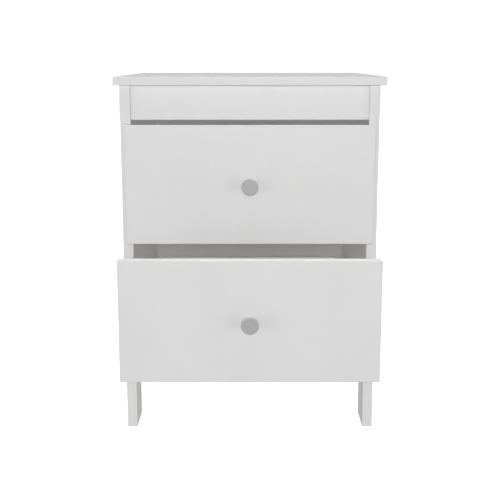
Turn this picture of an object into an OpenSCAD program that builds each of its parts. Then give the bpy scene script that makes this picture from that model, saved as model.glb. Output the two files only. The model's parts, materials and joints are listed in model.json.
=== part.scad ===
// Nightstand with two drawers. The case is melamine board, its side panels cut
// away at the foot to leave four legs. Two overlay drawer fronts with round knobs
// close against the front edges of the sides. Each drawer runs on a pair of
// roller slides, and cam fittings and dowels hold the boards together.
//
// Units are millimetres, with +X to the right, -Y to the front and +Z up. The
// origin is on the floor, at the centre of the overall footprint as stored, with
// the upper drawer shut and the lower one pulled part of the way out.

/* [Case] */
// Width over the two side panels
case_w = 374; // [340:1:460]
// Depth of the side panels
case_d = 384; // [384:1:440]
// Height from the floor to the top surface
overall_h = 529; // [528:1:600]
// Thickness of the side panels, bottom panel and apron
board_t = 15; // [15:1:18]
// Thickness of the top panel
top_t = 12; // [12:1:18]
// How far the top panel stands out past the case all round
top_overhang = 8; // [0:1:15]
// Height of the apron under the top panel
apron_h = 50; // [46:1:70]
// How far the apron sits back from the front edges of the sides
apron_setback = 5; // [0:1:8]
// Depth of each leg, front to back
leg_depth = 60; // [45:1:80]
// Height of the cut-out between the front and back legs
leg_h = 100; // [60:1:105]
// Corner radius at the top of the cut-out
leg_gap_r = 20; // [8:1:30]
// Thickness of the back panel
back_t = 3; // [2.5:0.5:4]
// Distance from the rear edges of the sides to the back panel
back_inset = 19; // [12:1:20]

/* [Drawers] */
// Height of each drawer front
front_h = 172; // [165:1:172]
// Thickness of each drawer front
front_t = 15; // [15:1:18]
// How far each end of a front stops short of the side panel's outer face
front_reveal = 7; // [2:0.5:8]
// Gap between the two closed fronts
front_gap = 2.5; // [2:0.5:4]
// Gap between the apron and the upper front
apron_gap = 6.5; // [3:0.5:10]
// Gap between a closed front and the front edges of the sides
close_gap = 1; // [0.5:0.5:2]
// Thickness of the drawer side and back boards
box_t = 12; // [12:1:13]
// Height of the drawer sides
box_h = 80; // [80:1:100]
// Length of the drawer sides
box_l = 350; // [345:1:352]
// Height of a drawer box above the lower edge of its front
box_rise = 22; // [21:1:24]
// Thickness of the drawer bottoms
drawer_bottom_t = 3; // [2.5:0.5:3.5]
// Opening of the lower drawer as stored
lower_opening = 104; // [0:1:250]

/* [Knobs] */
// Diameter of the knob face
knob_d = 24; // [20:1:34]
// Distance from the drawer front to the knob face
knob_reach = 20; // [18:1:30]

/* [Slides] */
// Space between a drawer side and the side panel, filled by the slide
slide_space = 12.5; // [12.5:0.1:13]
// Length of the slide profiles
slide_l = 348; // [340:1:348]
// Sheet thickness of the slide profiles
steel_t = 1.2; // [1:0.1:1.2]
// Full travel of each drawer
drawer_travel = 262; // [200:1:270]

/* [Hidden] */
$fn = 48;

// Names for the two drawers and the two sides
UPPER = 1;
LOWER = 0;
RIGHT = 1;
LEFT = -1;

// Board finishing: broken edges, saw grooves and how deep they go
edge_break = 0.5;
groove_clearance = 0.2;
groove_deep = 5.2;
tongue = 5;
top_groove_deep = 4.2;
top_tongue = 4;

// Clearances of fasteners in their holes, and how far a cutter overruns a face
hole_clearance = 0.1;
hole_bottom = 0.4;
overrun = 1;

// Heights in the case. The lower front covers the bottom panel's edge.
bottom_cover = 1;
side_h = overall_h - top_t;
apron_z = side_h - apron_h;
upper_front_z = apron_z - apron_gap - front_h;
lower_front_z = upper_front_z - front_gap - front_h;
bottom_z = lower_front_z + bottom_cover;

// Widths and depths in the case. Depths are measured back from the front edges
// of the side panels.
inner_w = case_w - 2 * board_t;
back_y = case_d - back_inset - back_t;
bottom_setback = 2;
front_w = case_w - 2 * front_reveal;
box_w = inner_w - 2 * slide_space;

// The front edges of the side panels, with the footprint centred on the origin
front_overall = lower_opening + close_gap + front_t + knob_reach;
rear_overall = case_d + top_overhang;
case_y = (front_overall - rear_overall) / 2;

// Cam fittings. The large ones join the case boards, the small ones the drawers.
// [cam diameter, cam height, cavity, pin, head, collar, board thickness]
cam_large = [15, 12, 8.2, 5, 7, 7.5, board_t];
cam_small = [12, 9.6, 6.6, 4, 5.6, 6.2, box_t];
cam_reach = 24;
cam_collar_l = 1.5;
cam_head_l = 4;
cam_beyond = 4.4;
cam_thread_d = 5;
cam_thread_l = 10;
top_thread_l = 8.5;
cam_slot = [1.2, 7, 1.4];

// Places of the case fittings, measured back from the front edges of the sides
top_bolt_ys = [50, 320];
top_dowel_ys = [90, 285];
bottom_bolt_ys = [50, 315];
bottom_dowel_ys = [90, 275];
apron_bolt_drop = 13;
apron_dowel_drop = 37;
apron_dowel_xs = [-90, 90];

// Dowels: [diameter, length in the drilled face, length in the drilled end]
dowel_large = [8, 11, 18];
dowel_small = [6, 8, 16];
dowel_chamfer = 1;

// Screws: [shank diameter, length, head diameter, head height]
rail_screw = [3.5, 11, 7, 2.2];
foot_screw = [3.5, 10, 7, 2];
corner_screw = [3.5, 35, 7, 2.4];
panel_screw = [3, 14, 6, 1.8];
knob_screw = [4, 27, 8, 2.6];
screw_recess = [0.9, 3.6, 1];
screw_crown = 0.45;
flush_land = 0.3;
flush_sink = 0.1;
back_screw_xs = [-120, 0, 120];
bottom_screw_xs = [-70, 70];
corner_screw_zs = [42, 66];

// Slides. The case rail is a channel and the drawer rail runs inside it.
rail_setback = 2;
case_rail_h = 34;
case_rail_flange = 10.5;
case_rail_lip = 4;
case_rail_z = -1.3;
drawer_rail_flange = 9.5;
drawer_rail_foot = 11;
drawer_rail_h = 22;
roller_d = 20;
roller_w = 7.4;
roller_bore = 5.15;
roller_edge = 0.8;
roller_dish = [6.6, 8.6, 0.9];
axle_d = 5;
axle_head_d = 8;
axle_head_t = 0.8;
axle_shoulder = 9.4;
front_roller_y = 14;
front_roller_x = 5.4;
front_roller_z = case_rail_z + 11.8;
rear_roller_y = 338;
rear_roller_x = 5.4;
rear_roller_z = case_rail_z + 11.5;
stop_bump_d = 6;
stop_gap = 8.4;
stop_y = rear_roller_y - close_gap - drawer_travel - stop_gap;
rail_screw_ys = [37, 190, 322];
rail_screw_z = case_rail_z + 28.3;
rail_slot_ys = [110, 260];
rail_slot_l = 14;
foot_screw_ys = [30, 175, 318];

// Drawer box details, measured from the lower edges of the drawer sides and back
// from the rear face of the front
bottom_groove_z = 10;
back_lift = bottom_groove_z + drawer_bottom_t + groove_clearance;
drawer_cam_z = 58;
drawer_dowel_z = 32;
knob_z = front_h / 2 - box_rise;

// Knob profile
knob_base_r = 7.5;
knob_base_t = 1.5;
knob_neck_r = 5.5;
knob_neck_z = 5;
knob_waist = [6.5, 10];
knob_rim_t = 3.5;
knob_rim_r = 1.5;
knob_hollow_l = 13;

// Colours
melamine = [0.93, 0.93, 0.925];
hardboard = [0.9, 0.9, 0.89];
coated_steel = [0.88, 0.88, 0.87];
bright_steel = [0.72, 0.72, 0.74];
zinc = [0.66, 0.66, 0.67];
nylon = [0.82, 0.82, 0.8];
beech = [0.82, 0.66, 0.45];
knob_grey = [0.68, 0.68, 0.68];

function box_z(level) =
    (level == UPPER ? upper_front_z : lower_front_z) + box_rise;
function opening(level) = level == UPPER ? 0 : lower_opening;

// ---- Places ----

module in_case() {
    translate([0, case_y, 0]) children();
}

module at_level(level) {
    translate([0, case_y, box_z(level)]) children();
}

module in_drawer(level) {
    translate([0, case_y - close_gap - opening(level), box_z(level)]) children();
}

// Draws its children as modelled for the right side, or mirrored to the left
module on_side(side) {
    if (side == RIGHT) children();
    else mirror([1, 0, 0]) children();
}

module on_both_sides() {
    for (side = [LEFT, RIGHT]) on_side(side) children();
}

// Case fitting places, for the right-hand side. Each puts the joint plane at
// z = 0, with the threaded board above it and the cam's face towards +X.
module at_top_bolts() {
    for (y = top_bolt_ys)
        translate([(case_w - board_t) / 2, y, side_h])
            rotate([0, 0, 180])
                children();
}

module at_top_dowels() {
    for (y = top_dowel_ys)
        translate([(case_w - board_t) / 2, y, side_h]) children();
}

module at_bottom_bolts() {
    for (y = bottom_bolt_ys)
        translate([inner_w / 2, y, bottom_z + board_t / 2])
            rotate([0, 90, 0])
                children();
}

module at_bottom_dowels() {
    for (y = bottom_dowel_ys)
        translate([inner_w / 2, y, bottom_z + board_t / 2])
            rotate([0, 90, 0])
                children();
}

module at_apron_bolt() {
    translate([inner_w / 2, apron_setback + board_t / 2, side_h - apron_bolt_drop])
        rotate([90, 0, 0])
            rotate([0, 90, 0])
                children();
}

module at_apron_end_dowel() {
    translate([inner_w / 2, apron_setback + board_t / 2, side_h - apron_dowel_drop])
        rotate([0, 90, 0])
            children();
}

module at_apron_top_dowels() {
    for (x = apron_dowel_xs)
        translate([x, apron_setback + board_t / 2, side_h]) children();
}

module at_back_screws() {
    for (x = back_screw_xs)
        translate([x, back_y + back_t, bottom_z + board_t / 2])
            rotate([-90, 0, 0])
                children();
}

// Rail screws of one level, driven outwards into the right side panel
module at_rail_screws() {
    for (y = rail_screw_ys)
        translate([inner_w / 2 - steel_t, y, rail_screw_z])
            rotate([0, -90, 0])
                children();
}

// Drawer fitting places, for the right-hand side
module at_drawer_cam() {
    translate([(box_w - box_t) / 2, 0, drawer_cam_z])
        rotate([90, 0, 0])
            rotate([0, 0, 180])
                children();
}

module at_drawer_dowel() {
    translate([(box_w - box_t) / 2, 0, drawer_dowel_z])
        rotate([90, 0, 0])
            children();
}

module at_corner_screws() {
    for (z = corner_screw_zs)
        translate([box_w / 2, box_l - box_t / 2, z])
            rotate([0, 90, 0])
                children();
}

module at_foot_screws() {
    for (y = foot_screw_ys)
        translate([(box_w - box_t) / 2, y, -steel_t])
            rotate([180, 0, 0])
                children();
}

module at_bottom_screws() {
    for (x = bottom_screw_xs)
        translate([x, box_l - box_t / 2, bottom_groove_z + hole_clearance])
            rotate([180, 0, 0])
                children();
}

// ---- Shapes that repeat ----

module broken_rect(w, h) {
    polygon([
        [edge_break, 0], [w - edge_break, 0], [w, edge_break],
        [w, h - edge_break], [w - edge_break, h], [edge_break, h],
        [0, h - edge_break], [0, edge_break]
    ]);
}

// A board from the origin, with all its edges broken
module board(size) {
    intersection() {
        linear_extrude(size.z) broken_rect(size.x, size.y);
        translate([0, size.y, 0])
            rotate([90, 0, 0])
                linear_extrude(size.y)
                    broken_rect(size.x, size.z);
        rotate([90, 0, 90])
            linear_extrude(size.x)
                broken_rect(size.y, size.z);
    }
}

module cam_lock(fitting) {
    cam_x = fitting[6] / 2 - fitting[1];
    difference() {
        translate([cam_x, 0, -cam_reach])
            rotate([0, 90, 0])
                cylinder(d = fitting[0], h = fitting[1]);
        translate([0, 0, -cam_reach - cam_beyond])
            cylinder(d = fitting[2], h = cam_reach);
        for (turn = [0, 90])
            translate([fitting[6] / 2, 0, -cam_reach])
                rotate([turn, 0, 0])
                    cube([2 * cam_slot.z, cam_slot.x, cam_slot.y], center = true);
    }
}

module cam_bolt(fitting, thread_l) {
    cylinder(d = cam_thread_d, h = thread_l);
    translate([0, 0, -cam_collar_l])
        cylinder(d = fitting[5], h = cam_collar_l);
    translate([0, 0, -cam_reach])
        cylinder(d = fitting[3], h = cam_reach);
    translate([0, 0, -cam_reach - cam_head_l / 2])
        cylinder(d = fitting[4], h = cam_head_l);
}

// The pocket and end bore in the board that holds the cam
module cam_pocket(fitting) {
    pocket_l = fitting[1] + hole_bottom / 2;
    translate([fitting[6] / 2 - pocket_l, 0, -cam_reach])
        rotate([0, 90, 0])
            cylinder(d = fitting[0] + 2 * hole_clearance, h = pocket_l + overrun);
    translate([0, 0, -cam_reach - cam_beyond])
        cylinder(d = fitting[2], h = cam_reach + cam_beyond + overrun);
}

// The hole in the board that takes the bolt's thread
module thread_hole(thread_l) {
    translate([0, 0, -overrun])
        cylinder(d = cam_thread_d + hole_clearance, h = thread_l + hole_bottom + overrun);
}

module dowel(kind) {
    r = kind[0] / 2;
    rotate_extrude()
        polygon([
            [0, -kind[2]], [r - dowel_chamfer, -kind[2]],
            [r, dowel_chamfer - kind[2]], [r, kind[1] - dowel_chamfer],
            [r - dowel_chamfer, kind[1]], [0, kind[1]]
        ]);
}

module dowel_hole(kind) {
    translate([0, 0, -kind[2] - hole_bottom])
        cylinder(d = kind[0] + hole_clearance, h = kind[1] + kind[2] + 2 * hole_bottom);
}

// A cross recess, cut down from z = 0
module cross_recess() {
    for (turn = [0, 90])
        rotate([0, 0, turn])
            cube([screw_recess.x, screw_recess.y, 2 * screw_recess.z], center = true);
}

// A screw whose domed head sits on z = 0 and whose shank runs down
module pan_screw(kind) {
    shank_r = kind[0] / 2;
    head_r = kind[2] / 2;
    difference() {
        rotate_extrude()
            polygon(concat(
                [[0, -kind[1]], [shank_r, 2 * shank_r - kind[1]], [shank_r, 0], [head_r, 0]],
                [for (a = [15:15:75])
                    [head_r * (1 - screw_crown + screw_crown * cos(a)), kind[3] * sin(a)]],
                [[0, kind[3]]]
            ));
        translate([0, 0, kind[3]]) cross_recess();
    }
}

// A screw whose flat head is sunk below z = 0
module countersunk_screw(kind) {
    shank_r = kind[0] / 2;
    head_r = kind[2] / 2;
    difference() {
        rotate_extrude()
            polygon([
                [0, -kind[1]], [shank_r, 2 * shank_r - kind[1]],
                [shank_r, -kind[3]], [head_r, -flush_land], [head_r, -flush_sink],
                [0, -flush_sink]
            ]);
        translate([0, 0, -flush_sink]) cross_recess();
    }
}

module shank_hole(kind, length) {
    translate([0, 0, -length])
        cylinder(d = kind[0] + hole_clearance, h = length + overrun);
}

module countersink(kind) {
    top_d = kind[2] + 2 * hole_clearance;
    translate([0, 0, -kind[3]])
        cylinder(d1 = kind[0] + hole_clearance, d2 = top_d, h = kind[3] - flush_land);
    translate([0, 0, -flush_land])
        cylinder(d = top_d, h = flush_land + overrun);
}

// ---- Case ----

module leg_gap() {
    gap_l = case_d - 2 * leg_depth;
    rotate([90, 0, 90])
        linear_extrude(board_t + 2 * overrun)
            translate([leg_depth, 0]) {
                translate([0, -overrun]) square([gap_l, leg_h - leg_gap_r + overrun]);
                translate([leg_gap_r, 0]) square([gap_l - 2 * leg_gap_r, leg_h]);
                for (y = [leg_gap_r, gap_l - leg_gap_r])
                    translate([y, leg_h - leg_gap_r]) circle(leg_gap_r);
            }
}

module side_panel(side) {
    color(melamine)
        in_case()
            on_side(side)
                difference() {
                    translate([inner_w / 2, 0, 0]) board([board_t, case_d, side_h]);
                    translate([inner_w / 2 - overrun, 0, 0]) leg_gap();
                    translate([inner_w / 2 - overrun, back_y, -overrun])
                        cube([
                            groove_deep + overrun, back_t + groove_clearance,
                            side_h + 2 * overrun
                        ]);
                    at_top_bolts() cam_pocket(cam_large);
                    at_top_dowels() dowel_hole(dowel_small);
                    at_bottom_bolts() thread_hole(cam_thread_l);
                    at_bottom_dowels() dowel_hole(dowel_large);
                    at_apron_bolt() thread_hole(cam_thread_l);
                    at_apron_end_dowel() dowel_hole(dowel_large);
                    for (level = [LOWER, UPPER])
                        translate([0, 0, box_z(level)])
                            at_rail_screws()
                                shank_hole(rail_screw, rail_screw[1] + hole_bottom);
                }
}

module top_panel() {
    color(melamine)
        in_case()
            difference() {
                translate([-case_w / 2 - top_overhang, -top_overhang, side_h])
                    board([
                        case_w + 2 * top_overhang, case_d + 2 * top_overhang, top_t
                    ]);
                translate([-inner_w / 2 - groove_deep, back_y, side_h - overrun])
                    cube([
                        inner_w + 2 * groove_deep, back_t + groove_clearance,
                        top_groove_deep + overrun
                    ]);
                on_both_sides() at_top_bolts() thread_hole(top_thread_l);
                on_both_sides() at_top_dowels() dowel_hole(dowel_small);
                at_apron_top_dowels() dowel_hole(dowel_small);
            }
}

module bottom_panel() {
    color(melamine)
        in_case()
            difference() {
                translate([-inner_w / 2, bottom_setback, bottom_z])
                    board([inner_w, back_y - bottom_setback, board_t]);
                on_both_sides() at_bottom_bolts() cam_pocket(cam_large);
                on_both_sides() at_bottom_dowels() dowel_hole(dowel_large);
                at_back_screws() shank_hole(panel_screw, panel_screw[1] + hole_bottom);
            }
}

module front_apron() {
    color(melamine)
        in_case()
            difference() {
                translate([-inner_w / 2, apron_setback, apron_z])
                    board([inner_w, board_t, apron_h]);
                on_both_sides() at_apron_bolt() cam_pocket(cam_large);
                on_both_sides() at_apron_end_dowel() dowel_hole(dowel_large);
                at_apron_top_dowels() dowel_hole(dowel_small);
            }
}

module back_panel() {
    color(hardboard)
        in_case()
            difference() {
                translate([-inner_w / 2 - tongue, back_y, bottom_z])
                    cube([inner_w + 2 * tongue, back_t, side_h + top_tongue - bottom_z]);
                at_back_screws() shank_hole(panel_screw, panel_screw[1]);
            }
}

module case_cam_locks() {
    color(zinc)
        in_case()
            on_both_sides() {
                at_top_bolts() cam_lock(cam_large);
                at_bottom_bolts() cam_lock(cam_large);
                at_apron_bolt() cam_lock(cam_large);
            }
}

module case_cam_bolts() {
    color(bright_steel)
        in_case()
            on_both_sides() {
                at_top_bolts() cam_bolt(cam_large, top_thread_l);
                at_bottom_bolts() cam_bolt(cam_large, cam_thread_l);
                at_apron_bolt() cam_bolt(cam_large, cam_thread_l);
            }
}

module case_dowels() {
    color(beech)
        in_case() {
            on_both_sides() {
                at_top_dowels() dowel(dowel_small);
                at_bottom_dowels() dowel(dowel_large);
                at_apron_end_dowel() dowel(dowel_large);
            }
            at_apron_top_dowels() dowel(dowel_small);
        }
}

module back_panel_screws() {
    color(bright_steel)
        in_case()
            at_back_screws()
                pan_screw(panel_screw);
}

// ---- Slides ----

// The fixed channel, screwed to the side panel, with a stop bump in its floor
module case_rail(level, side) {
    z0 = case_rail_z;
    z1 = case_rail_z + case_rail_h;
    w = case_rail_flange;
    t = steel_t;
    color(coated_steel)
        at_level(level)
            on_side(side)
                translate([inner_w / 2, 0, 0])
                    difference() {
                        union() {
                            translate([0, rail_setback + slide_l, 0])
                                rotate([90, 0, 0])
                                    linear_extrude(slide_l)
                                        polygon([
                                            [0, z0], [0, z1], [-w, z1],
                                            [-w, z1 - case_rail_lip],
                                            [t - w, z1 - case_rail_lip],
                                            [t - w, z1 - t], [-t, z1 - t],
                                            [-t, z0 + t], [-w, z0 + t], [-w, z0]
                                        ]);
                            intersection() {
                                translate([-w, stop_y, z0 + t])
                                    rotate([0, 90, 0])
                                        cylinder(d = stop_bump_d, h = w - t);
                                translate([-w, stop_y - stop_bump_d, z0 + t / 2])
                                    cube([w - t, 2 * stop_bump_d, stop_bump_d]);
                            }
                        }
                        translate([-2 * t, front_roller_y, front_roller_z])
                            rotate([0, 90, 0])
                                cylinder(d = axle_d + hole_clearance, h = 3 * t);
                        for (y = rail_screw_ys)
                            translate([-2 * t, y, rail_screw_z])
                                rotate([0, 90, 0])
                                    cylinder(d = rail_screw[0] + 2 * hole_clearance, h = 3 * t);
                        for (y = rail_slot_ys)
                            translate([0, y, rail_screw_z]) rail_slot();
                    }
}

// A slot along a rail, for adjusting it
module rail_slot() {
    for (shift = [-rail_slot_l / 2, rail_slot_l / 2])
        translate([-2 * steel_t, shift, 0])
            rotate([0, 90, 0])
                cylinder(d = rail_screw[0] + 2 * hole_clearance, h = 3 * steel_t);
    translate([-steel_t / 2, 0, 0])
        cube([3 * steel_t, rail_slot_l, rail_screw[0] + 2 * hole_clearance], center = true);
}

module case_rail_screws() {
    color(bright_steel)
        for (level = [LOWER, UPPER])
            at_level(level)
                on_both_sides()
                    at_rail_screws()
                        pan_screw(rail_screw);
}

module roller() {
    r = roller_d / 2;
    half_w = roller_w / 2;
    rotate([0, 90, 0])
        rotate_extrude()
            polygon([
                [roller_bore / 2, -half_w], [roller_dish[0], -half_w],
                [roller_dish[0], roller_dish[2] - half_w],
                [roller_dish[1], roller_dish[2] - half_w],
                [roller_dish[1], -half_w], [r - roller_edge, -half_w],
                [r, roller_edge - half_w], [r, half_w - roller_edge],
                [r - roller_edge, half_w], [roller_dish[1], half_w],
                [roller_dish[1], half_w - roller_dish[2]],
                [roller_dish[0], half_w - roller_dish[2]],
                [roller_dish[0], half_w], [roller_bore / 2, half_w]
            ]);
}

// A shouldered rivet along +X, from x = 0 to its head
module axle() {
    rotate([0, 90, 0]) {
        cylinder(d = axle_d, h = axle_shoulder);
        translate([0, 0, axle_shoulder]) cylinder(d = axle_head_d, h = axle_head_t);
    }
}

module front_roller(level, side) {
    color(nylon)
        at_level(level)
            on_side(side)
                translate([inner_w / 2 - front_roller_x, front_roller_y, front_roller_z])
                    roller();
}

module front_roller_axles() {
    color(bright_steel)
        for (level = [LOWER, UPPER])
            at_level(level)
                on_both_sides()
                    translate([inner_w / 2, front_roller_y, front_roller_z])
                        mirror([1, 0, 0])
                            axle();
}

// The moving rail: its foot carries the drawer side and its flange runs on the
// front roller, inside the case rail
module drawer_rail(level, side) {
    t = steel_t;
    color(coated_steel)
        in_drawer(level)
            on_side(side)
                translate([box_w / 2, 0, 0])
                    difference() {
                        translate([0, rail_setback + slide_l, 0])
                            rotate([90, 0, 0])
                                linear_extrude(slide_l)
                                    polygon([
                                        [-drawer_rail_foot, -t], [t, -t],
                                        [t, drawer_rail_h - t],
                                        [drawer_rail_flange, drawer_rail_h - t],
                                        [drawer_rail_flange, drawer_rail_h],
                                        [0, drawer_rail_h], [0, 0],
                                        [-drawer_rail_foot, 0]
                                    ]);
                        translate([-t, rear_roller_y, rear_roller_z])
                            rotate([0, 90, 0])
                                cylinder(d = axle_d + hole_clearance, h = 3 * t);
                        for (y = foot_screw_ys)
                            translate([-box_t / 2, y, -2 * t])
                                cylinder(d = foot_screw[0] + 2 * hole_clearance, h = 3 * t);
                    }
}

module rear_roller(level, side) {
    color(nylon)
        in_drawer(level)
            on_side(side)
                translate([box_w / 2 + rear_roller_x, rear_roller_y, rear_roller_z])
                    roller();
}

module roller_axles(level) {
    color(bright_steel)
        in_drawer(level)
            on_both_sides()
                translate([box_w / 2, rear_roller_y, rear_roller_z])
                    axle();
}

module rail_screws(level) {
    color(bright_steel)
        in_drawer(level)
            on_both_sides()
                at_foot_screws()
                    pan_screw(foot_screw);
}

// ---- Drawers ----

module drawer_front(level) {
    color(melamine)
        in_drawer(level)
            difference() {
                translate([-front_w / 2, -front_t, -box_rise])
                    board([front_w, front_t, front_h]);
                translate([
                    box_t - box_w / 2 - groove_deep, -groove_deep, bottom_groove_z
                ])
                    cube([
                        box_w - 2 * box_t + 2 * groove_deep, groove_deep + overrun,
                        drawer_bottom_t + groove_clearance
                    ]);
                on_both_sides() at_drawer_cam() thread_hole(cam_thread_l);
                on_both_sides() at_drawer_dowel() dowel_hole(dowel_small);
                translate([0, 0, knob_z])
                    rotate([-90, 0, 0])
                        shank_hole(knob_screw, front_t + overrun);
            }
}

module drawer_side(level, side) {
    color(melamine)
        in_drawer(level)
            on_side(side)
                difference() {
                    translate([box_w / 2 - box_t, 0, 0]) board([box_t, box_l, box_h]);
                    translate([box_w / 2 - box_t - overrun, -overrun, bottom_groove_z])
                        cube([
                            groove_deep + overrun, box_l + 2 * overrun,
                            drawer_bottom_t + groove_clearance
                        ]);
                    at_drawer_cam() cam_pocket(cam_small);
                    at_drawer_dowel() dowel_hole(dowel_small);
                    at_corner_screws() {
                        shank_hole(corner_screw, box_t + overrun);
                        countersink(corner_screw);
                    }
                    at_foot_screws() shank_hole(foot_screw, foot_screw[1] + hole_bottom);
                }
}

module drawer_back(level) {
    color(melamine)
        in_drawer(level)
            difference() {
                translate([box_t - box_w / 2, box_l - box_t, back_lift])
                    board([box_w - 2 * box_t, box_t, box_h - back_lift]);
                on_both_sides()
                    at_corner_screws()
                        shank_hole(corner_screw, corner_screw[1] + hole_bottom);
                at_bottom_screws()
                    shank_hole(panel_screw, panel_screw[1] + hole_bottom);
            }
}

module drawer_bottom(level) {
    color(hardboard)
        in_drawer(level)
            difference() {
                translate([box_t - box_w / 2 - tongue, -tongue, bottom_groove_z + hole_clearance])
                    cube([
                        box_w - 2 * box_t + 2 * tongue, box_l + tongue, drawer_bottom_t
                    ]);
                at_bottom_screws()
                    shank_hole(panel_screw, panel_screw[1]);
            }
}

module corner_screws(level) {
    color(bright_steel)
        in_drawer(level)
            on_both_sides()
                at_corner_screws()
                    countersunk_screw(corner_screw);
}

module bottom_screws(level) {
    color(bright_steel)
        in_drawer(level)
            at_bottom_screws()
                pan_screw(panel_screw);
}

module cam_locks(level) {
    color(zinc)
        in_drawer(level)
            on_both_sides()
                at_drawer_cam()
                    cam_lock(cam_small);
}

module cam_bolts(level) {
    color(bright_steel)
        in_drawer(level)
            on_both_sides()
                at_drawer_cam()
                    cam_bolt(cam_small, cam_thread_l);
}

module dowels(level) {
    color(beech)
        in_drawer(level)
            on_both_sides()
                at_drawer_dowel()
                    dowel(dowel_small);
}

// The knob is turned: a foot, a waisted neck and a flat face with a rounded rim
module knob(level) {
    r = knob_d / 2;
    rim_z = knob_reach - knob_rim_t;
    color(knob_grey)
        in_drawer(level)
            translate([0, -front_t, knob_z])
                rotate([90, 0, 0])
                    difference() {
                        rotate_extrude()
                            union() {
                                polygon([
                                    [0, 0], [knob_base_r, 0], [knob_base_r, knob_base_t],
                                    [knob_neck_r, knob_neck_z],
                                    [knob_waist[0], knob_waist[1]],
                                    [r, rim_z], [r, knob_reach - knob_rim_r],
                                    [r - knob_rim_r, knob_reach], [0, knob_reach]
                                ]);
                                translate([r - knob_rim_r, knob_reach - knob_rim_r])
                                    circle(knob_rim_r);
                            }
                        translate([0, 0, -overrun])
                            cylinder(d = knob_screw[0] + hole_clearance, h = knob_hollow_l + overrun);
                    }
}

module knob_fixing(level) {
    color(bright_steel)
        in_drawer(level)
            translate([0, 0, knob_z])
                rotate([-90, 0, 0])
                    pan_screw(knob_screw);
}

// ---- Nodes ----

top_panel();
side_panel(LEFT);  // left_side_panel
side_panel(RIGHT);  // right_side_panel
bottom_panel();
front_apron();
back_panel();
case_cam_locks();
case_cam_bolts();
case_dowels();
back_panel_screws();
case_rail(UPPER, LEFT);  // upper_left_case_rail
case_rail(UPPER, RIGHT);  // upper_right_case_rail
case_rail(LOWER, LEFT);  // lower_left_case_rail
case_rail(LOWER, RIGHT);  // lower_right_case_rail
case_rail_screws();
front_roller_axles();
front_roller(UPPER, LEFT);  // upper_left_front_roller
front_roller(UPPER, RIGHT);  // upper_right_front_roller
front_roller(LOWER, LEFT);  // lower_left_front_roller
front_roller(LOWER, RIGHT);  // lower_right_front_roller
drawer_front(UPPER);  // upper_drawer_front
drawer_side(UPPER, LEFT);  // upper_drawer_left_side
drawer_side(UPPER, RIGHT);  // upper_drawer_right_side
drawer_back(UPPER);  // upper_drawer_back
drawer_bottom(UPPER);  // upper_drawer_bottom
drawer_rail(UPPER, LEFT);  // upper_drawer_left_rail
drawer_rail(UPPER, RIGHT);  // upper_drawer_right_rail
rear_roller(UPPER, LEFT);  // upper_left_rear_roller
rear_roller(UPPER, RIGHT);  // upper_right_rear_roller
roller_axles(UPPER);  // upper_roller_axles
rail_screws(UPPER);  // upper_rail_screws
corner_screws(UPPER);  // upper_corner_screws
bottom_screws(UPPER);  // upper_bottom_screws
cam_locks(UPPER);  // upper_cam_locks
cam_bolts(UPPER);  // upper_cam_bolts
dowels(UPPER);  // upper_dowels
knob(UPPER);  // upper_knob
knob_fixing(UPPER);  // upper_knob_screw
drawer_front(LOWER);  // lower_drawer_front
drawer_side(LOWER, LEFT);  // lower_drawer_left_side
drawer_side(LOWER, RIGHT);  // lower_drawer_right_side
drawer_back(LOWER);  // lower_drawer_back
drawer_bottom(LOWER);  // lower_drawer_bottom
drawer_rail(LOWER, LEFT);  // lower_drawer_left_rail
drawer_rail(LOWER, RIGHT);  // lower_drawer_right_rail
rear_roller(LOWER, LEFT);  // lower_left_rear_roller
rear_roller(LOWER, RIGHT);  // lower_right_rear_roller
roller_axles(LOWER);  // lower_roller_axles
rail_screws(LOWER);  // lower_rail_screws
corner_screws(LOWER);  // lower_corner_screws
bottom_screws(LOWER);  // lower_bottom_screws
cam_locks(LOWER);  // lower_cam_locks
cam_bolts(LOWER);  // lower_cam_bolts
dowels(LOWER);  // lower_dowels
knob(LOWER);  // lower_knob
knob_fixing(LOWER);  // lower_knob_screw
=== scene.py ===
import json
import math

import bmesh
import bpy
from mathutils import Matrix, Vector

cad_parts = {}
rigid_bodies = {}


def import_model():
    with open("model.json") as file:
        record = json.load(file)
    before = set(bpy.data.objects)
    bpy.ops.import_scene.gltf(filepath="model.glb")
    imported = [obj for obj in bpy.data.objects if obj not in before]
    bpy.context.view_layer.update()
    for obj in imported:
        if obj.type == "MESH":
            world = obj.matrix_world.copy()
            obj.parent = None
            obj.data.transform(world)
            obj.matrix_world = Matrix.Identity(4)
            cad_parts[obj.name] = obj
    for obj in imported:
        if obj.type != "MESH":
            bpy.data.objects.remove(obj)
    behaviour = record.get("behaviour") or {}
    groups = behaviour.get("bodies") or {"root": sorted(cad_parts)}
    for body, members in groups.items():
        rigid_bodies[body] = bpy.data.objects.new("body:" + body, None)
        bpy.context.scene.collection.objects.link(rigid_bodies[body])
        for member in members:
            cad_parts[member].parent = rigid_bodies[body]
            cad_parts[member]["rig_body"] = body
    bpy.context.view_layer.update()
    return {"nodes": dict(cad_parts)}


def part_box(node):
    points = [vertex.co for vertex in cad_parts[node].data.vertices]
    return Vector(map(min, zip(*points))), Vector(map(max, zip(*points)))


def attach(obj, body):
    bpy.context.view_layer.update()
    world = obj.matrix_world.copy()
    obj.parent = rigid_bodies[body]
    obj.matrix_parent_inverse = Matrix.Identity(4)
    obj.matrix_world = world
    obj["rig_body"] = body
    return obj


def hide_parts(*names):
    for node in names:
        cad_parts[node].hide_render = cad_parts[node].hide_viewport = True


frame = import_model()
nodes = frame["nodes"]

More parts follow.
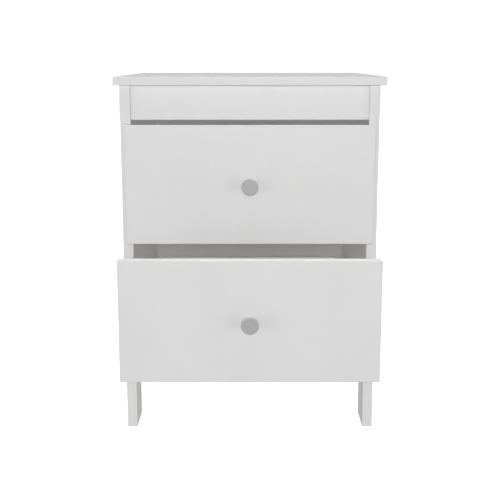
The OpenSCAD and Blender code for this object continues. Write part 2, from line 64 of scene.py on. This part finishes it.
MM = 0.001
BAND_T = 0.8 * MM  # thickness of an edge band
SEAM_W = 0.15 * MM  # width of the glue line between a band and the face
ON_PLANE = 0.02 * MM  # how near a face is to a side of its board to lie on it
EDGE_BREAK = 0.45 * MM  # a little more than the radius broken on a board's edges
LEG_TOP = 100.5 * MM  # just over the height of the cut-outs between the legs
WELD = 0.001 * MM  # vertices nearer than this are one
SHARP = math.radians(50)  # edges at a greater angle than this stay sharp

# a board's materials, in their order on the mesh; the edge bands follow by the axis that they run along
MELAMINE, GLUE, RAW, FIRST_BAND = range(4)

WHITE = 0.80  # base grey of the melamine, the bands and the lacquer
KNOB = 0.46  # base grey of the knobs
MESH_MARK = 1.6 * MM  # width of the press screen's mark on bare hardboard
WAVES_PER_UNIT = 3.2  # bands that a wave texture of scale 1 fits in one unit


# ---------------------------------------------------------------- materials


class Graph:
    """A node material with one Principled shader, built by short calls."""

    def __init__(self, name):
        self.material = bpy.data.materials.new(name)
        self.material.use_nodes = True
        self.tree = self.material.node_tree
        self.tree.nodes.clear()
        self.shader = self.add("ShaderNodeBsdfPrincipled")
        out = self.add("ShaderNodeOutputMaterial")
        self.link(self.shader.outputs["BSDF"], out.inputs["Surface"])
        self.where = self.add("ShaderNodeTexCoord").outputs["Object"]

    def add(self, kind, **settings):
        node = self.tree.nodes.new(kind)
        for key, value in settings.items():
            setattr(node, key, value)
        return node

    def link(self, a, b):
        self.tree.links.new(a, b)

    def set(self, **values):
        for key, value in values.items():
            self.shader.inputs[key.replace("_", " ")].default_value = value

    def feed(self, name, socket):
        self.link(socket, self.shader.inputs[name])

    def stretched(self, scale=(1, 1, 1), shift=(0, 0, 0)):
        node = self.add("ShaderNodeMapping")
        node.inputs["Scale"].default_value = scale
        node.inputs["Location"].default_value = shift
        self.link(self.where, node.inputs["Vector"])
        return node.outputs["Vector"]

    def noise(self, size, detail=2.0, rough=0.5, at=None, distort=0.0):
        """Noise whose features are about size metres across."""
        node = self.add("ShaderNodeTexNoise")
        node.inputs["Scale"].default_value = 1 / size
        node.inputs["Detail"].default_value = detail
        node.inputs["Roughness"].default_value = rough
        node.inputs["Distortion"].default_value = distort
        self.link(at or self.where, node.inputs["Vector"])
        return node.outputs["Fac"]

    def cells(self, size, at=None, feature="F1"):
        node = self.add("ShaderNodeTexVoronoi", feature=feature)
        node.inputs["Scale"].default_value = 1 / size
        self.link(at or self.where, node.inputs["Vector"])
        return node

    def remap(self, socket, low, high, to_low, to_high):
        node = self.add("ShaderNodeMapRange", clamp=True)
        limits = {"From Min": low, "From Max": high, "To Min": to_low, "To Max": to_high}
        for key, value in limits.items():
            node.inputs[key].default_value = value
        self.link(socket, node.inputs["Value"])
        return node.outputs["Result"]

    def math(self, operation, a, b):
        node = self.add("ShaderNodeMath", operation=operation)
        for value, socket in zip((a, b), node.inputs):
            if isinstance(value, (int, float)):
                socket.default_value = value
            else:
                self.link(value, socket)
        return node.outputs[0]

    def mix(self, fac, a, b):
        """Colour a where fac is 0 and b where it is 1."""
        node = self.add("ShaderNodeMix", data_type="RGBA")
        sockets = [s for s in node.inputs if s.type == "RGBA"]
        self.link(fac, node.inputs["Factor"])
        for value, socket in zip((a, b), sockets):
            if isinstance(value, tuple):
                socket.default_value = (*value, 1)
            else:
                self.link(value, socket)
        return next(s for s in node.outputs if s.type == "RGBA")

    def bump(self, height, depth):
        """Relief of about depth metres from a height of 0 to 1."""
        node = self.add("ShaderNodeBump")
        node.inputs["Distance"].default_value = depth
        self.link(height, node.inputs["Height"])
        self.link(node.outputs["Normal"], self.shader.inputs["Normal"])


def grey(value, warm=0.0):
    return (value * (1 + warm), value, value * (1 - warm))


def melamine_face():
    """White melamine paper: a fine pearl texture, faint mottling and hand-worn patches of gloss."""
    g = Graph("melamine_face")
    mottle = g.noise(90 * MM, 3, 0.55)
    pearl = g.noise(1.1 * MM, 2, 0.6)
    rubbed = g.noise(55 * MM, 4, 0.6, distort=0.6)
    colour = g.mix(g.remap(mottle, 0.35, 0.65, 0, 1), grey(WHITE * 0.985, 0.001), grey(WHITE * 1.01, 0.003))
    fleck = g.remap(g.noise(2.6 * MM, 1, 0.4), 0.70, 0.78, 0, 0.35)
    g.feed("Base Color", g.mix(fleck, colour, grey(WHITE * 0.93, 0.004)))
    gloss = g.math("ADD", g.remap(rubbed, 0.35, 0.7, 0.36, 0.48), g.remap(pearl, 0.3, 0.7, -0.03, 0.03))
    g.feed("Roughness", gloss)
    g.set(IOR=1.46)
    g.bump(g.math("ADD", pearl, g.math("MULTIPLY", g.noise(7 * MM, 2, 0.5), 0.6)), 0.012 * MM)
    return g.material


def edge_band(run):
    """Extruded edge band: fine streaks along the axis run, a duller sheen and small scuffs where it gets
    knocked."""
    g = Graph("edge_band_" + "xyz"[run])
    streaks = g.noise(1.2 * MM, 2, 0.5, at=g.stretched([0.08 if axis == run else 1 for axis in range(3)]))
    worn = g.noise(11 * MM, 4, 0.65)
    colour = g.mix(g.remap(streaks, 0.3, 0.7, 0, 1), grey(WHITE * 0.975, 0.004), grey(WHITE * 1.005, 0.004))
    g.feed("Base Color", g.mix(g.remap(worn, 0.66, 0.76, 0, 0.5), colour, grey(WHITE * 0.86, 0.01)))
    g.feed("Roughness", g.remap(worn, 0.35, 0.75, 0.44, 0.6))
    g.set(IOR=1.5)
    g.bump(g.math("ADD", streaks, g.noise(0.9 * MM, 1, 0.5)), 0.01 * MM)
    return g.material


def glue_line():
    """The thin grey line of glue between a band and the melamine."""
    g = Graph("glue_line")
    dirt = g.remap(g.noise(4 * MM, 3, 0.6), 0.35, 0.65, 0, 1)
    g.feed("Base Color", g.mix(dirt, grey(0.50, 0.02), grey(0.68, 0.01)))
    g.feed("Roughness", g.remap(g.noise(2 * MM), 0.3, 0.7, 0.55, 0.75))
    return g.material


def chipboard():
    """Raw particle board in the bores, grooves and hidden ends: pressed flakes of several browns."""
    g = Graph("chipboard")
    flakes = g.cells(1.7 * MM, at=g.stretched((1, 1.6, 1)))
    tone = g.add("ShaderNodeSeparateColor")
    g.link(flakes.outputs["Color"], tone.inputs["Color"])
    light = g.mix(tone.outputs["Red"], (0.36, 0.22, 0.11), (0.62, 0.45, 0.27))
    fibre = g.noise(0.5 * MM, 3, 0.7)
    g.feed("Base Color", g.mix(g.remap(fibre, 0.55, 0.75, 0, 0.7), light, (0.22, 0.13, 0.07)))
    g.feed("Roughness", g.remap(fibre, 0.3, 0.7, 0.8, 0.95))
    g.bump(g.math("ADD", flakes.outputs["Distance"], fibre), 0.15 * MM)
    return g.material


def lacquered_hardboard():
    """The white face of hardboard: a thin roller coat over pressed fibre."""
    g = Graph("hardboard_face")
    fibre = g.noise(1.4 * MM, 4, 0.65, at=g.stretched((1, 0.35, 1)))
    cloud = g.noise(60 * MM, 3, 0.6)
    colour = g.mix(g.remap(cloud, 0.35, 0.65, 0, 1), grey(WHITE * 0.95, 0.004), grey(WHITE * 0.985, 0.006))
    g.feed("Base Color", g.mix(g.remap(fibre, 0.62, 0.74, 0, 0.3), colour, grey(WHITE * 0.88, 0.012)))
    g.feed("Roughness", g.remap(fibre, 0.3, 0.7, 0.45, 0.58))
    g.set(IOR=1.46)
    g.bump(fibre, 0.02 * MM)
    return g.material


def raw_hardboard():
    """The bare back of hardboard: brown fibre with the mesh mark of the press screen."""
    g = Graph("hardboard_back")
    fibre = g.noise(3 * MM, 5, 0.7, distort=0.8)
    flake = g.noise(0.7 * MM, 2, 0.6)
    colour = g.mix(g.remap(fibre, 0.35, 0.68, 0, 1), (0.25, 0.145, 0.075), (0.40, 0.255, 0.145))
    g.feed("Base Color", g.mix(g.remap(flake, 0.6, 0.78, 0, 0.5), colour, (0.14, 0.08, 0.045)))
    g.feed("Roughness", g.remap(flake, 0.3, 0.7, 0.72, 0.88))
    weave = []
    for turned in ((1, 0, 0), (0, 0, 1)):
        wave = g.add("ShaderNodeTexWave", wave_type="BANDS", bands_direction="X" if turned[0] else "Z")
        wave.inputs["Scale"].default_value = 1 / MESH_MARK / WAVES_PER_UNIT
        wave.inputs["Distortion"].default_value = 0.4
        g.link(g.where, wave.inputs["Vector"])
        weave.append(wave.outputs["Fac"])
    g.bump(g.math("ADD", g.math("MULTIPLY", *weave), flake), 0.12 * MM)
    return g.material


def coated_steel():
    """White epoxy coating on sheet steel: slight orange peel, grey rub marks where parts run."""
    g = Graph("coated_steel")
    peel = g.noise(1.6 * MM, 2, 0.5)
    rub = g.noise(6 * MM, 4, 0.7, at=g.stretched((1, 0.12, 1)))
    cloud = g.noise(40 * MM, 2, 0.5)
    colour = g.mix(g.remap(cloud, 0.35, 0.65, 0, 1), grey(0.74, 0.004), grey(0.78, 0.008))
    g.feed("Base Color", g.mix(g.remap(rub, 0.62, 0.75, 0, 0.3), colour, grey(0.52, 0.004)))
    g.feed("Roughness", g.remap(rub, 0.35, 0.7, 0.26, 0.42))
    g.set(IOR=1.5)
    g.bump(peel, 0.02 * MM)
    return g.material


def plated_steel():
    """Bright zinc plate: bluish and straw tints, fine turning marks, a few dull spots."""
    g = Graph("plated_steel")
    tint = g.noise(3 * MM, 3, 0.6)
    scratch = g.noise(0.35 * MM, 2, 0.6)
    g.feed("Base Color", g.mix(g.remap(tint, 0.35, 0.65, 0, 1), (0.60, 0.62, 0.66), (0.70, 0.69, 0.64)))
    fine = g.remap(scratch, 0.3, 0.7, -0.04, 0.06)
    g.feed("Roughness", g.math("ADD", g.remap(tint, 0.4, 0.7, 0.24, 0.4), fine))
    g.set(Metallic=1.0)
    g.bump(scratch, 0.01 * MM)
    return g.material


def cast_zinc():
    """Die-cast zinc: a dull grey skin with flow marks and pits."""
    g = Graph("cast_zinc")
    flow = g.noise(2.5 * MM, 4, 0.65, distort=1.2)
    pits = g.remap(g.cells(0.9 * MM).outputs["Distance"], 0.0, 0.25, 0, 1)
    g.feed("Base Color", g.mix(g.remap(flow, 0.35, 0.65, 0, 1), (0.44, 0.45, 0.46), (0.58, 0.585, 0.59)))
    g.feed("Roughness", g.remap(flow, 0.35, 0.7, 0.42, 0.6))
    g.set(Metallic=1.0)
    g.bump(g.math("ADD", pits, flow), 0.03 * MM)
    return g.material


def nylon():
    """Moulded nylon: off-white, a fine spark-eroded texture and grey dust in the running faces."""
    g = Graph("nylon")
    grain = g.noise(0.5 * MM, 2, 0.6)
    dirt = g.noise(3.5 * MM, 4, 0.7)
    g.feed("Base Color", g.mix(g.remap(dirt, 0.5, 0.75, 0, 0.6), grey(0.72, 0.02), grey(0.45, 0.03)))
    g.feed("Roughness", g.remap(grain, 0.3, 0.7, 0.38, 0.52))
    g.set(IOR=1.53)
    g.bump(grain, 0.015 * MM)
    return g.material


def beech():
    """Raw beech: grain with short darker flecks."""
    g = Graph("beech")
    grain = g.noise(1.4 * MM, 4, 0.6, at=g.stretched((0.15, 1, 1)))
    fleck = g.noise(0.6 * MM, 2, 0.5, at=g.stretched((0.3, 1, 1), (0.1, 0, 0)))
    colour = g.mix(g.remap(grain, 0.3, 0.7, 0, 1), (0.50, 0.31, 0.165), (0.64, 0.44, 0.26))
    g.feed("Base Color", g.mix(g.remap(fleck, 0.62, 0.72, 0, 0.7), colour, (0.33, 0.19, 0.09)))
    g.feed("Roughness", g.remap(grain, 0.3, 0.7, 0.6, 0.78))
    g.bump(grain, 0.05 * MM)
    return g.material


def knob_lacquer():
    """Silver-grey satin lacquer with a fine metal flake, dulled a little where it is held."""
    g = Graph("knob_lacquer")
    flake = g.noise(0.35 * MM, 2, 0.7)
    held = g.noise(8 * MM, 3, 0.6)
    colour = g.mix(g.remap(flake, 0.35, 0.65, 0, 1), grey(KNOB * 0.95, -0.004), grey(KNOB * 1.05, -0.002))
    g.feed("Base Color", g.mix(g.remap(held, 0.55, 0.8, 0, 0.3), colour, grey(KNOB * 0.88, 0.003)))
    fine = g.remap(flake, 0.3, 0.7, -0.03, 0.03)
    g.feed("Roughness", g.math("ADD", g.remap(held, 0.35, 0.7, 0.4, 0.5), fine))
    g.set(Metallic=0.15, IOR=1.5)
    g.bump(flake, 0.006 * MM)
    return g.material


FACE = melamine_face()
BANDS = [edge_band(run) for run in range(3)]
SEAM = glue_line()
CHIP = chipboard()
LACQUER = lacquered_hardboard()
FIBRE = raw_hardboard()
FINISH = {
    "coated_steel": coated_steel(),
    "fastener_steel": plated_steel(),
    "zinc": cast_zinc(),
    "nylon": nylon(),
    "beech": beech(),
    "knob": knob_lacquer(),
}


# ------------------------------------------------------------------- boards


def cut(bm, axis, place):
    """Cuts the whole mesh along a plane, and keeps both sides."""
    point, normal = Vector((0, 0, 0)), Vector((0, 0, 0))
    point[axis], normal[axis] = place, 1
    geom = bm.verts[:] + bm.edges[:] + bm.faces[:]
    bmesh.ops.bisect_plane(bm, geom=geom, plane_co=point, plane_no=normal, dist=1e-7)


def soften(obj):
    """Smooth shading that leaves flat faces flat and turns the broken edges into small radii."""
    modifier = obj.modifiers.new("soft_edges", "WEIGHTED_NORMAL")
    modifier.keep_sharp = True
    modifier.weight = 100


def piece_from(node, name, materials, kind_of_face, cuts=()):
    """A new piece with a CAD node's exact shape and a material on each kind of face."""
    bm = bmesh.new()
    bm.from_mesh(nodes[node].data)
    bmesh.ops.remove_doubles(bm, verts=bm.verts, dist=WELD)
    for axis, place in cuts:
        cut(bm, axis, place)
    bm.normal_update()
    for face in bm.faces:
        face.smooth = True
        face.material_index = kind_of_face(face)
    for edge in bm.edges:
        edge.smooth = len(edge.link_faces) == 2 and edge.calc_face_angle() < SHARP
    mesh = bpy.data.meshes.new(name)
    bm.to_mesh(mesh)
    bm.free()
    for material in materials:
        mesh.materials.append(material)
    obj = bpy.data.objects.new(name, mesh)
    bpy.context.scene.collection.objects.link(obj)
    soften(obj)
    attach(obj, nodes[node]["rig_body"])
    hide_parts(node)
    return obj


def dress_board(node, thick, banded_below=None):
    """A melamine board. thick is the axis of its thickness. Its faces get melamine, its edges a band
    with a glue line, and its bores and grooves raw particle board. Below the height banded_below, a
    cut-out's edges are banded too."""
    lo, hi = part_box(node)
    across = [a for a in range(3) if a != thick]

    def on_side(place, axis):
        return min(abs(place[axis] - lo[axis]), abs(place[axis] - hi[axis])) < ON_PLANE

    def kind(face):
        c, n = face.calc_center_median(), face.normal
        insets = {a: min(c[a] - lo[a], hi[a] - c[a]) for a in across}
        edge_run = FIRST_BAND + max(insets, key=insets.get)
        inset = min(insets.values())
        if on_side(c, thick) and abs(n[thick]) > 0.99:
            if inset < BAND_T:
                return edge_run
            return GLUE if inset < BAND_T + SEAM_W else MELAMINE
        near = [a for a in range(3) if min(c[a] - lo[a], hi[a] - c[a]) < EDGE_BREAK]
        if near and all(abs(n[a]) > 0.3 for a in near):
            return edge_run
        if banded_below is not None and c.z < banded_below and abs(n[thick]) < 0.01:
            return FIRST_BAND + min(across, key=lambda a: abs(n[a]))
        return RAW

    cuts = [
        (a, side + sign * depth)
        for a in across
        for side, sign in ((lo[a], 1), (hi[a], -1))
        for depth in (BAND_T, BAND_T + SEAM_W)
    ]
    obj = piece_from(node, node + "_board", (FACE, SEAM, CHIP, *BANDS), kind, cuts)
    return obj


def dress_hardboard(node, thick, bare_side):
    """Hardboard with one lacquered face and one bare one. The bare face is on the low (0) or high (1) side
    of the thickness."""
    lo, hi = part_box(node)
    bare = (lo, hi)[bare_side][thick]

    def kind(face):
        flat = abs(face.normal[thick]) > 0.99
        return 0 if flat and abs(face.calc_center_median()[thick] - bare) > ON_PLANE else 1

    obj = piece_from(node, node + "_sheet", (LACQUER, FIBRE), kind)
    return obj


X, Y, Z = range(3)
LEVELS = ("upper", "lower")
SIDES = ("left", "right")

dress_board("top_panel", Z)
dress_board("bottom_panel", Z)
dress_board("front_apron", Y)
for side in SIDES:
    dress_board(side + "_side_panel", X, banded_below=LEG_TOP)
for level in LEVELS:
    dress_board(level + "_drawer_front", Y)
    dress_board(level + "_drawer_back", Y)
    dress_hardboard(level + "_drawer_bottom", Z, 0)
    for side in SIDES:
        dress_board(f"{level}_drawer_{side}_side", X)
dress_hardboard("back_panel", Y, 1)

for node in nodes.values():
    if node.hide_render:
        continue
    for material_slot in node.material_slots:
        material_slot.material = FINISH[material_slot.material.name]


# ------------------------------------------------------------- camera, light

SENSOR = 36.0
LENS = 66.8736
TILT = math.radians(10.86)
FROM_FRONT = 1344.9 * MM  # camera to the front edges of the side panels, along Y
EYE = 552.1 * MM  # camera height
OFF_CENTRE = (0.0003, -0.0235)

front_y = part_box("left_side_panel")[0].y
camera_data = bpy.data.cameras.new("camera")
camera_data.sensor_width = SENSOR
camera_data.lens = LENS
camera_data.shift_x, camera_data.shift_y = OFF_CENTRE
camera = bpy.data.objects.new("camera", camera_data)
camera.location = (0, front_y - FROM_FRONT, EYE)
camera.rotation_euler = (math.pi / 2 - TILT, 0, 0)
bpy.context.scene.collection.objects.link(camera)
bpy.context.scene.camera = camera

scene = bpy.context.scene
scene.view_settings.view_transform = "Standard"

SKY = ((-1.0, 0.65), (0.0, 0.25), (1.0, 0.1))  # (height of direction, brightness)
BACKDROP = 1.05  # just over white
FLOOR_HALF = 8.0
FLOOR_GLOW = 0.8
SUN_SPREAD = math.radians(28)


def studio_world():
    """A soft surround that lights the object, and a plain white backdrop behind it."""
    world = bpy.data.worlds.new("studio")
    world.use_nodes = True
    scene.world = world
    tree = world.node_tree
    background = tree.nodes["Background"]
    coordinates = tree.nodes.new("ShaderNodeTexCoord")
    split = tree.nodes.new("ShaderNodeSeparateXYZ")
    tree.links.new(coordinates.outputs["Generated"], split.inputs["Vector"])
    up = tree.nodes.new("ShaderNodeMapRange")
    up.inputs["From Min"].default_value = -1
    tree.links.new(split.outputs["Z"], up.inputs["Value"])
    ramp = tree.nodes.new("ShaderNodeValToRGB")
    while len(ramp.color_ramp.elements) < len(SKY):
        ramp.color_ramp.elements.new(0.5)
    for element, (height, value) in zip(ramp.color_ramp.elements, SKY):
        element.position = (height + 1) / 2
        element.color = (value, value, value, 1)
    tree.links.new(up.outputs["Result"], ramp.inputs["Fac"])
    sight = tree.nodes.new("ShaderNodeLightPath")
    choose = tree.nodes.new("ShaderNodeMix")
    choose.data_type = "RGBA"
    sockets = [x for x in choose.inputs if x.type == "RGBA"]
    tree.links.new(sight.outputs["Is Camera Ray"], choose.inputs["Factor"])
    tree.links.new(ramp.outputs["Color"], sockets[0])
    sockets[1].default_value = (BACKDROP, BACKDROP, BACKDROP, 1)
    tree.links.new(next(x for x in choose.outputs if x.type == "RGBA"), background.inputs["Color"])


def floor():
    """A plain pale floor for the camera to see, which bounces and blocks no light."""
    mesh = bpy.data.meshes.new("floor")
    h = FLOOR_HALF
    mesh.from_pydata([(-h, -h, 0), (h, -h, 0), (h, h, 0), (-h, h, 0)], [], [(0, 1, 2, 3)])
    obj = bpy.data.objects.new("floor", mesh)
    bpy.context.scene.collection.objects.link(obj)
    g = Graph("floor")
    g.feed("Base Color", g.mix(g.noise(0.6, 2, 0.5), grey(0.84), grey(0.86)))
    g.feed("Roughness", g.remap(g.noise(0.05, 2, 0.5), 0.3, 0.7, 0.75, 0.85))
    g.shader.inputs["Emission Color"].default_value = (1, 1, 1, 1)
    g.set(Emission_Strength=FLOOR_GLOW)
    mesh.materials.append(g.material)
    obj.visible_diffuse = False
    obj.visible_glossy = False
    obj.visible_shadow = False


studio_world()
floor()


def aimed(name, data, place, aim):
    obj = bpy.data.objects.new(name, data)
    obj.location = place
    obj.rotation_euler = (Vector(aim) - Vector(place)).to_track_quat("-Z", "Y").to_euler()
    bpy.context.scene.collection.objects.link(obj)
    return obj


def softbox(name, place, aim, size, power, mirrored=True):
    """A rectangular lamp. Unless mirrored, it doesn't show in reflections."""
    data = bpy.data.lights.new(name, "AREA")
    data.shape = "RECTANGLE"
    data.size, data.size_y = size
    data.energy = power
    aimed(name, data, place, aim).visible_glossy = mirrored


def sun(name, azimuth, elevation, strength, shadows=False):
    """An even light. Without shadows it reaches into the case."""
    a, e = math.radians(azimuth), math.radians(elevation)
    data = bpy.data.lights.new(name, "SUN")
    data.energy = strength
    data.angle = SUN_SPREAD
    data.use_shadow = shadows
    place = (3 * math.sin(a) * math.cos(e), -3 * math.cos(a) * math.cos(e), 3 * math.sin(e))
    aimed(name, data, place, (0, 0, 0)).visible_glossy = False


softbox("key", (0.0, -3.0, 0.98), (0, -0.1, 0.25), (0.6, 0.4), 23)
softbox("back", (0.0, 3.0, 0.45), (0, 0.1, 0.25), (1.6, 1.2), 22, mirrored=False)
for number, across in enumerate((-2.2, 2.2)):
    softbox(f"side_{number}", (across, -1.8, 0.35), (0, -0.1, 0.25), (1.2, 1.2), 11)
for number, azimuth in enumerate((-60, 60)):
    sun(f"fill_{number}", azimuth, 25, 0.36)
sun("overhead_fill", 0, 89, 0.5)
sun("overhead", 0, 89, 1.5, shadows=True)
